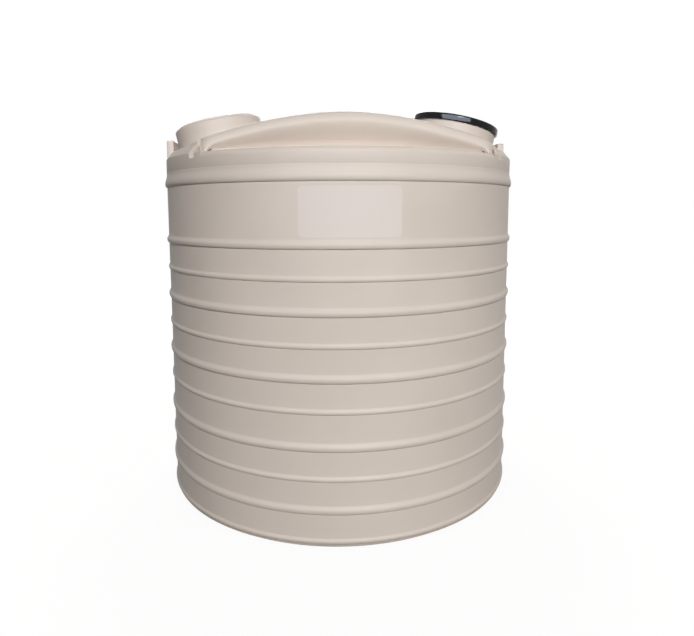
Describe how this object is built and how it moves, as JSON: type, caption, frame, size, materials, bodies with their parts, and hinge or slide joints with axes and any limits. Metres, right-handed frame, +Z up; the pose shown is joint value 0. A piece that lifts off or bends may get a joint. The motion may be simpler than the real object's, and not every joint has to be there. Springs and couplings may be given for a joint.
{
  "type": "water tank",
  "caption": "Upright ribbed plastic water tank with an arched roof bridge, a strainer inlet, a screwed access lid, a ball valve outlet and a screened overflow.",
  "frame": {"origin": "centre of the tank's flat base, on its upright axis", "axes": "+Z up along the tank's axis; the front recess faces -Y, the outlet and overflow face +Y, the strainer collar leans out at +X and the access lid's collar at -X"},
  "size_m": [1.812, 1.947, 1.9485],
  "materials": {
    "beige_polyethylene": "moulded beige polyethylene, satin",
    "black_plastic": "glossy black",
    "stainless": "plain stainless steel",
    "brass": "machined brass",
    "chrome_ball": "polished chrome",
    "white_ptfe": "white fluoropolymer",
    "black_rubber": "black rubber",
    "white_pvc": "white moulded plastic",
    "red_vinyl": "dipped red vinyl"
  },
  "bodies": {
    "tank": {"tank_shell": "beige_polyethylene", "access_lid": "beige_polyethylene", "strainer_ring": "black_plastic", "strainer_basket": "stainless", "strainer_screw_1": "stainless", "strainer_screw_2": "stainless", "strainer_screw_3": "stainless", "strainer_screw_4": "stainless", "lid_screw_1": "stainless", "lid_screw_2": "stainless", "lid_screw_3": "stainless", "lid_screw_4": "stainless", "overflow_screen": "stainless", "outlet_tail": "brass", "outlet_back_nut": "brass", "valve_body": "brass", "valve_end_cap": "brass", "packing_nut": "brass", "valve_seat_inner": "white_ptfe", "valve_seat_outer": "white_ptfe", "stem_packing": "white_ptfe", "lid_seal": "black_rubber", "outlet_inner_seal": "black_rubber", "outlet_outer_seal": "black_rubber", "overflow_inner_seal": "black_rubber", "overflow_tail": "white_pvc", "overflow_nut": "white_pvc"},
    "valve_handle": {"valve_ball": "chrome_ball", "valve_stem": "stainless", "valve_lever": "stainless", "lever_grip": "red_vinyl", "lever_nut": "stainless"}
  },
  "joints": [
    {"name": "valve_turn", "type": "hinge", "parent": "tank", "child": "valve_handle", "pos_m": [0, 0.98092, 0.105], "axis": [0, 0, 1], "range_deg": [0, 90]}
  ]
}
